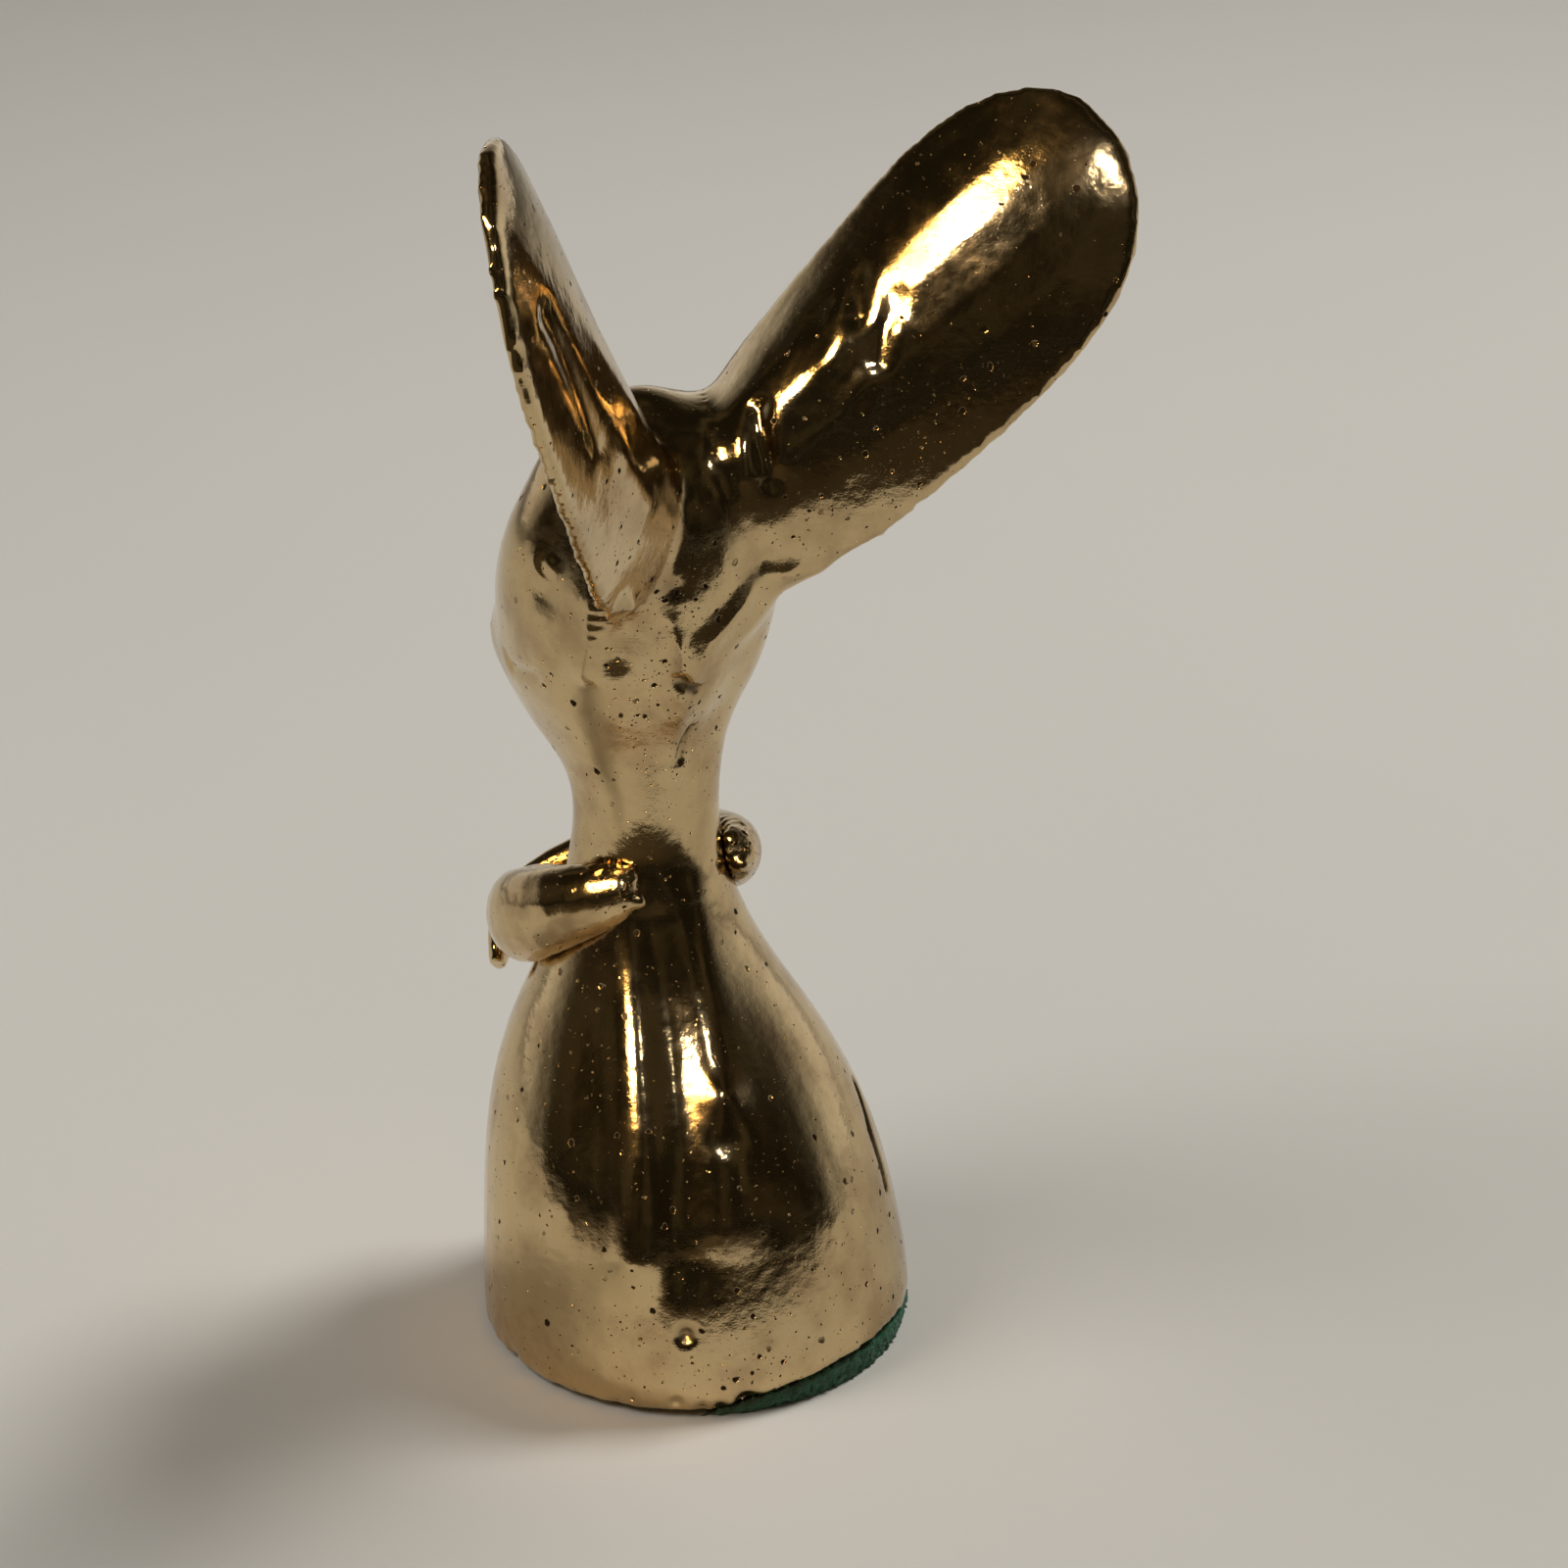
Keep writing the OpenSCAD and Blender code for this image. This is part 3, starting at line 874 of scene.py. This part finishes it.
    def _mark(self, piece: bpy.types.Object) -> None:
        """Stores where the castings are porous, filed and sooty."""
        mark(piece, "porous", (
            Stroke(((4.5, 3.7, 66.5), (4, 3, 62), (5, 1, 56), (1, 0, 52)), 3.4, 0.5),
            Stroke(((6.4, 4.6, 68.2), (4.5, 3.9, 66.0)), 1.5, 1.0),
            Stroke(((-6, 6, 71), (-13, 10, 76), (-20, 14, 82)), 3.0, 0.35),
            Stroke(((10, 3, 72), (16, 9, 79)), 3.0, 0.3),
            Stroke(((0, 17, 8), (12, 13, 8), (-10, 14, 10)), 6.0, 0.10),
            Stroke(((0, 17.8, 3.5), (9, 15.5, 3.5), (-9, 15.5, 3.5)), 2.5, 0.3),
        ))
        mark(piece, "filed", (
            Stroke(((8, 1.6, 64.8), (8.2, 0.9, 60.6)), 1.5, 1.0),
            Stroke(((-3, 2.5, 60), (-3, 0.5, 54)), 3.0, 0.45),
        ))
        mark(piece, "sooty", (
            Stroke(((11.3, 13.0, 7.3),), 0.7, 1.0),
            Stroke(((-12.1, 6.4, 19.6), (-11.1, 9.6, 16.5), (-11.3, 11.4, 12)), 0.5, 1.0),
            Stroke(((4.5, 4.3, 67.0),), 0.9, 0.9),
            Stroke(((5, 1.2, 55.7),), 0.5, 0.9),
            Stroke(((0.6, 0.4, 53.4), (1.2, 0.2, 50.6)), 0.35, 0.9),
            Stroke(((1.6, 2.6, 57.6), (3.2, 2.8, 58.6)), 0.5, 0.9),
            Stroke(((8.6, -7.9, 32.4), (7.8, -5, 34.8), (6.8, -2.3, 37.2)), 0.5, 0.8),
        ))


@dataclass
class Arms:
    """The folded arms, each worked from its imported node."""

    voxel: float = 0.32

    def notches(self) -> tuple[Stroke, ...]:
        """Rough ends of the arms at the shoulders, and file nicks on top."""
        strokes = []
        for side in (1, -1):
            for y, z, depth in ((-0.4, 40.4, -0.4), (0.0, 39.2, 0.4), (-0.6, 38.2, -0.45), (-1.6, 41.2, 0.3)):
                strokes.append(Stroke(((side * 5.3, y, z),), 0.7, depth))
            for y in (-2.6, -3.5, -4.3):
                strokes.append(Stroke(((side * 4.6, y, 41.8), (side * 7.2, y, 41.4)), 0.3, -0.2))
        return tuple(strokes)

    def build(self, nodes: dict[str, bpy.types.Object], finishes: dict[str, bpy.types.Material]) -> None:
        """Builds both arms.

        Args:
            nodes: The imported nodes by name.
            finishes: Materials by name.
        """
        for node, name in (("left_arm", "arm_left"), ("right_arm", "arm_right")):
            arm = fuse([merged_copy(nodes, node)], name, self.voxel)
            finish_modifier(arm, "SMOOTH", factor=0.5, iterations=8)
            finish_modifier(arm, "SUBSURF", levels=1, render_levels=1)
            chase(arm, self.notches())
            mark(arm, "porous", tuple(Stroke(((side * 5.6, -1, 39.6),), 2.6, 1.0) for side in (1, -1)))
            mark(arm, "filed", tuple(Stroke(((side * 6.5, -3, 41),), 2.4, 0.5) for side in (1, -1)))
            mark(arm, "sooty", tuple(Stroke(((side * 5.2, -0.6, 38.4),), 0.9, 0.7) for side in (1, -1)))
            shade(arm)
            hand_in(arm, "cast_brass", finishes[node], node)


@dataclass
class FeltPad:
    """Felt under the foot, which swells out where the bell's edge is raised.

    Args:
        voxel: Cell of its mesh.
        ragged: How far its rim strays in and out.
        seed: Seed of that.
    """

    voxel: float = 0.34
    ragged: float = 0.12
    seed: int = 7

    def build(self, nodes: dict[str, bpy.types.Object], finishes: dict[str, bpy.types.Material]) -> None:
        """Builds the pad.

        Args:
            nodes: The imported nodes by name.
            finishes: Materials by name.
        """
        pad = fuse([merged_copy(nodes, "felt_pad")], "felt", self.voxel)
        finish_modifier(pad, "SMOOTH", factor=0.5, iterations=3)
        places, normals = surface(pad)
        rng = np.random.default_rng(self.seed)
        rim = (np.hypot(places[:, 0], places[:, 1]) > 15.2) * (places[:, 2] > 0.15)
        reshape(pad, places + normals * (rng.normal(0.0, self.ragged, len(places)) * rim)[:, None])
        shade(pad, 180.0)
        hand_in(pad, "green_felt", finishes["felt_pad"], "felt_pad")


# ---------------------------------------------------------------------------------------------------------
# Studio
# ---------------------------------------------------------------------------------------------------------


@dataclass(frozen=True)
class Lamp:
    """A round soft lamp.

    Args:
        name: Its name.
        place: Where it hangs, in millimetres.
        size: Its diameter, in millimetres.
        watts: Its power.
        colour: Its colour.
        seen: Whether the metal reflects it. Such a lamp leaves the paper alone, and the others light it.
    """

    name: str
    place: Point
    size: float
    watts: float
    colour: tuple[float, float, float]
    seen: bool


DARK = (0.012, 0.010, 0.006, 1.0)
DIM = (0.050, 0.040, 0.024, 1.0)
PALE = (0.68, 0.66, 0.62, 1.0)


@dataclass
class Studio:
    """Floor, lamps, cards, world and camera.

    Args:
        azimuth: Direction of the camera from the figure, in degrees.
        distance: Level distance of the camera from the figure.
        height: Height of the camera.
        aim: The point that it looks at.
        lens: Focal length for a sensor 36 mm wide.
        card_near: How far the dark card's near edge lies from the figure.
        card_size: Its side.
        lamp_aim: Height that the lamps face.
        lamps: The lamps.
    """

    azimuth: float = 142.0
    distance: float = 280.0
    height: float = 173.0
    aim: Point = (-5.85, 4.57, 48.06)
    lens: float = 87.9
    card_near: float = 95.0
    card_size: float = 1600.0
    lamp_aim: float = 50.0
    lamps: tuple[Lamp, ...] = (
        Lamp("warm lamp", (354, 114, 414), 230, 2.6, (1.0, 0.68, 0.28), True),
        Lamp("white lamp", (312, 218, 404), 44, 0.30, (1.0, 0.98, 0.95), True),
        Lamp("small lamp", (83, 354, 424), 32, 0.20, (1.0, 0.97, 0.92), True),
        Lamp("back fill", (-500, 10, 800), 260, 4.9, (1.0, 0.96, 0.91), False),
        Lamp("side fill", (455, -229, 600), 420, 1.8, (1.0, 0.98, 0.95), False),
    )

    def camera(self) -> None:
        """Sets the camera."""
        turn = math.radians(self.azimuth)
        place = Vector((math.sin(turn) * self.distance, -math.cos(turn) * self.distance, self.height)) * MM
        data = bpy.data.cameras.new("camera")
        data.lens = self.lens
        data.sensor_width = 36.0
        data.clip_start = 0.01
        camera = bpy.data.objects.new("camera", data)
        bpy.context.scene.collection.objects.link(camera)
        camera.location = place
        camera.rotation_euler = (Vector(self.aim) * MM - place).to_track_quat("-Z", "Y").to_euler()
        bpy.context.scene.camera = camera

    def floor(self) -> None:
        """Lays the paper floor."""
        deselect()
        bpy.ops.mesh.primitive_plane_add(size=6.0, location=(0, 0, 0))
        floor = bpy.context.object
        floor.name = "paper floor"
        material = bpy.data.materials.new("paper")
        material.use_nodes = True
        graph = Graph(material.node_tree)
        place = graph.add("ShaderNodeTexCoord").outputs["Object"]
        cloud = graph.noise(place, 6.0, 3.0)
        tone = graph.blend(cloud, (0.69, 0.68, 0.645, 1.0), (0.735, 0.73, 0.695, 1.0))
        shader = graph.add("ShaderNodeBsdfPrincipled", {"Base Color": tone, "Roughness": 0.8})
        graph.add("ShaderNodeOutputMaterial", {"Surface": shader.outputs[0]})
        floor.data.materials.append(material)

    def card(self) -> None:
        """Lays a dark card on the floor by the camera, which only the metal's reflections see."""
        turn = math.radians(self.azimuth)
        away = self.card_near + self.card_size / 2
        deselect()
        bpy.ops.mesh.primitive_plane_add(
            size=self.card_size * MM,
            location=(math.sin(turn) * away * MM, -math.cos(turn) * away * MM, 0.5 * MM),
            rotation=(0, 0, turn),
        )
        card = bpy.context.object
        card.name = "dark card"
        material = bpy.data.materials.new("card")
        material.use_nodes = True
        graph = Graph(material.node_tree)
        tone = graph.blend(graph.noise(graph.add("ShaderNodeTexCoord").outputs["Object"], 5.0), DARK, DIM)
        shader = graph.add("ShaderNodeBsdfPrincipled", {"Base Color": tone, "Roughness": 0.9})
        graph.add("ShaderNodeOutputMaterial", {"Surface": shader.outputs[0]})
        card.data.materials.append(material)
        card.visible_camera = card.visible_diffuse = card.visible_shadow = card.visible_transmission = False

    def hang(self, lamp: Lamp) -> None:
        """Hangs a round soft lamp that faces the figure.

        Args:
            lamp: The lamp.
        """
        data = bpy.data.lights.new(lamp.name, "AREA")
        data.shape = "DISK"
        data.size = lamp.size * MM
        data.energy = lamp.watts
        data.color = lamp.colour
        hung = bpy.data.objects.new(lamp.name, data)
        bpy.context.scene.collection.objects.link(hung)
        hung.visible_glossy = lamp.seen
        hung.visible_diffuse = not lamp.seen
        hung.location = Vector(lamp.place) * MM
        aim = Vector((0, 0, self.lamp_aim * MM))
        hung.rotation_euler = (aim - hung.location).to_track_quat("-Z", "Y").to_euler()

    def world(self) -> None:
        """Sets a dim room above the horizon and pale paper below it."""
        world = bpy.data.worlds.new("room")
        world.use_nodes = True
        bpy.context.scene.world = world
        graph = Graph(world.node_tree)
        way = graph.add("ShaderNodeTexCoord").outputs["Generated"]
        parts = graph.add("ShaderNodeSeparateXYZ", {0: way})
        turn = math.radians(self.azimuth)
        behind = graph.math("ADD", graph.math("MULTIPLY", parts.outputs["X"], -math.sin(turn)),
                            graph.math("MULTIPLY", parts.outputs["Y"], math.cos(turn)))
        low = graph.math("SUBTRACT", 1.0, graph.ramp(parts.outputs["Z"], 0.05, 0.55))
        paper = graph.math("MULTIPLY", graph.ramp(behind, -0.2, 0.5), low)
        cloud = graph.ramp(graph.noise(way, 2.2, 4.0), 0.45, 0.65)
        room = graph.blend(cloud, DARK, DIM)
        tone = graph.blend(paper, room, PALE)
        direct = graph.add("ShaderNodeLightPath").outputs["Is Camera Ray"]
        tone = graph.blend(direct, tone, PALE)
        surface_node = graph.add("ShaderNodeBackground", {"Color": tone, "Strength": 1.0})
        graph.add("ShaderNodeOutputWorld", {"Surface": surface_node.outputs[0]})

    def build(self) -> None:
        """Sets up everything round the figure."""
        self.floor()
        self.world()
        self.card()
        for lamp in self.lamps:
            self.hang(lamp)
        self.camera()


def main() -> None:
    """Builds the pieces in order and sets up the studio."""
    logging.basicConfig(level=logging.INFO, format="%(name)s: %(message)s")
    scene = bpy.context.scene
    scene.view_settings.view_transform = "Standard"
    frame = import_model()
    nodes = frame["nodes"]
    effects = Effects()
    cast = BrassFinish("cast brass").build(effects)
    drawn = BrassFinish("turned brass", pitting=0.0, tarnish=0.2, peel=0.0).build(effects)
    felt = FeltFinish().build(effects)
    finishes = {name: cast for name in nodes}
    finishes["felt_pad"] = felt
    Castings().build(nodes, finishes)
    Arms().build(nodes, finishes)
    FeltPad().build(nodes, finishes)
    for name in ("neck_dowel", "ear_pins", "shoulder_pins", "closing_disc", "stud_bush"):
        nodes[name].data.materials.clear()
        nodes[name].data.materials.append(drawn)
    Studio().build()


if __name__ == "__main__":
    main()
